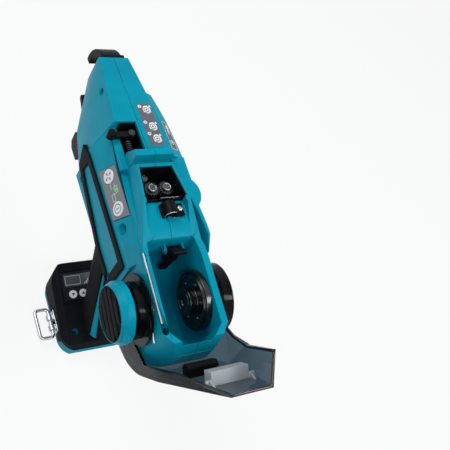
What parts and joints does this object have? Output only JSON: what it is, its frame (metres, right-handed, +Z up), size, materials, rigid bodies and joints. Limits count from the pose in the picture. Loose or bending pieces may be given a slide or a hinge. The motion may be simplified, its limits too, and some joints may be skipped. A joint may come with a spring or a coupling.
{
  "type": "rebar tying tool",
  "caption": "Hand-held cordless rebar tying tool with pistol grip, smoke reel cover swung open over an empty reel chamber, meshed wire feed gears and curling jaw.",
  "frame": {"origin": "middle of the foot's base face, between the two battery rails", "axes": "+X to the tool's right, +Y towards the nose, +Z up along the foot's normal"},
  "size_m": [0.1126, 0.3931, 0.3129],
  "materials": {
    "teal_plastic": "satin moulded",
    "black_rubber": "matt overmould",
    "black_plastic": "fine texture",
    "dark_steel": "black oxide",
    "steel": "bright",
    "aluminium": "die cast",
    "brass": "bright",
    "smoke": "clear smoke tint",
    "frosted": "frosted clear",
    "grey_plastic": "satin",
    "light_plastic": "satin",
    "display": "clear window",
    "lens": "clear",
    "green_lamp": "clear green",
    "board": "solder mask"
  },
  "bodies": {
    "housing": {"left_housing": "teal_plastic", "right_housing": "teal_plastic", "left_side_rubber": "black_rubber", "right_side_rubber": "black_rubber", "grip_rubber": "black_rubber", "foot_rubber": "black_rubber", "housing_screws": "steel", "button_panel": "grey_plastic", "indicator_lamp": "green_lamp", "display_panel": "black_plastic", "display_glass": "display", "feed_liner": "black_plastic", "arm_pin": "steel", "wire_guide": "black_plastic", "guide_screw": "steel", "lever_tray": "black_plastic", "lever_pin": "steel", "lever_spring": "dark_steel", "cover_spring": "steel", "brake_pin": "steel", "curl_guide": "dark_steel", "arm_pivot_pin": "steel", "gear_case": "aluminium", "motor_can": "dark_steel", "feed_motor": "dark_steel", "feed_gearbox": "black_plastic", "lamp_body": "black_plastic", "lamp_lens": "lens", "switch_block": "black_plastic", "controller_board": "board", "terminal_block": "black_plastic", "terminal_blades": "brass", "hook_bracket": "steel"},
    "cover": {"reel_cover": "smoke", "cover_bracket": "frosted", "cover_block": "black_plastic"},
    "knob": {"knob_cap": "teal_plastic", "knob_pad": "black_rubber", "knob_spindle": "black_plastic"},
    "hub": {"reel_hub": "black_plastic", "hub_cap": "black_plastic"},
    "drive": {"drive_gear": "dark_steel", "drive_axle": "steel"},
    "swing_arm": {"idler_arm": "dark_steel", "idler_axle": "steel"},
    "idler": {"idler_gear": "dark_steel"},
    "lever": {"release_lever": "black_plastic"},
    "brake": {"brake_lever": "black_plastic"},
    "trigger": {"trigger": "black_plastic"},
    "lock": {"lock_button": "black_plastic"},
    "power_key": {"power_button": "light_plastic"},
    "mode_key": {"mode_button": "light_plastic"},
    "down_key": {"down_button": "light_plastic"},
    "up_key": {"up_button": "light_plastic"},
    "jaw_arm": {"lower_arm": "dark_steel"},
    "twister": {"twist_shaft": "steel", "twist_hook": "steel"},
    "rotor": {"motor_rotor": "steel"},
    "hook": {"belt_hook": "steel"}
  },
  "joints": [
    {"name": "cover_hinge", "type": "hinge", "parent": "housing", "child": "cover", "pos_m": [0, -0.084, 0.218], "axis": [1, 0, 0], "range_deg": [-118, 0]},
    {"name": "knob_slide", "type": "slide", "parent": "housing", "child": "knob", "axis": [1, 0, 0], "range_m": [0, 0.009]},
    {"name": "hub_spin", "type": "hinge", "parent": "housing", "child": "hub", "pos_m": [0, -0.084, 0.218], "axis": [1, 0, 0], "continuous": true},
    {"name": "drive_spin", "type": "hinge", "parent": "housing", "child": "drive", "pos_m": [0.0095, 0.0155, 0.255], "axis": [0, 0, 1], "continuous": true},
    {"name": "lever_hinge", "type": "hinge", "parent": "housing", "child": "lever", "pos_m": [-0.0086, 0.076, 0.2585], "axis": [0, 0, 1], "range_deg": [0, 15], "stiffness_Nm_per_rad": 0.3, "deforming": ["lever_spring"]},
    {"name": "arm_hinge", "type": "hinge", "parent": "housing", "child": "swing_arm", "pos_m": [-0.0105, 0.0275, 0.246], "axis": [0, 0, 1], "range_deg": [-7, 0]},
    {"name": "idler_spin", "type": "hinge", "parent": "swing_arm", "child": "idler", "pos_m": [-0.0055, 0.0155, 0.255], "axis": [0, 0, 1], "continuous": true},
    {"name": "brake_hinge", "type": "hinge", "parent": "housing", "child": "brake", "pos_m": [0.0052, -0.0405, 0.242], "axis": [1, 0, 0], "range_deg": [-10, 0], "stiffness_Nm_per_rad": 0.2},
    {"name": "trigger_pull", "type": "slide", "parent": "housing", "child": "trigger", "axis": [0, -1, 0], "range_m": [0, 0.007], "stiffness_N_per_m": 800},
    {"name": "lock_slide", "type": "slide", "parent": "housing", "child": "lock", "axis": [1, 0, 0], "range_m": [-0.003, 0.003]},
    {"name": "power_press", "type": "slide", "parent": "housing", "child": "power_key", "axis": [0.9559, -0.0163, -0.2934], "range_m": [0, 0.0008], "stiffness_N_per_m": 1500},
    {"name": "mode_press", "type": "slide", "parent": "housing", "child": "mode_key", "axis": [0.9559, -0.0163, -0.2934], "range_m": [0, 0.0008], "stiffness_N_per_m": 1500},
    {"name": "down_press", "type": "slide", "parent": "housing", "child": "down_key", "axis": [0, 0.2584, -0.966], "range_m": [0, 0.0008], "stiffness_N_per_m": 1500},
    {"name": "up_press", "type": "slide", "parent": "housing", "child": "up_key", "axis": [0, 0.2584, -0.966], "range_m": [0, 0.0008], "stiffness_N_per_m": 1500},
    {"name": "jaw_hinge", "type": "hinge", "parent": "housing", "child": "jaw_arm", "pos_m": [0, 0.145, 0.1855], "axis": [1, 0, 0], "range_deg": [-35, 0], "stiffness_Nm_per_rad": 0.5, "springref_deg": 8.59},
    {"name": "twist_spin", "type": "hinge", "parent": "housing", "child": "twister", "pos_m": [0, 0.116, 0.226], "axis": [0, 1, 0], "continuous": true},
    {"name": "rotor_spin", "type": "hinge", "parent": "housing", "child": "rotor", "pos_m": [0, 0.016, 0.196], "axis": [0, 1, 0], "continuous": true},
    {"name": "hook_hinge", "type": "hinge", "parent": "housing", "child": "hook", "pos_m": [-0.0466, -0.009, 0.012], "axis": [0, 1, 0], "range_deg": [0, 85]}
  ],
  "couplings": [
    {"joint": "idler_spin", "follows": "drive_spin", "ratio": -1},
    {"joint": "arm_hinge", "follows": "lever_hinge", "ratio": -0.45},
    {"joint": "rotor_spin", "follows": "twist_spin", "ratio": -4}
  ]
}
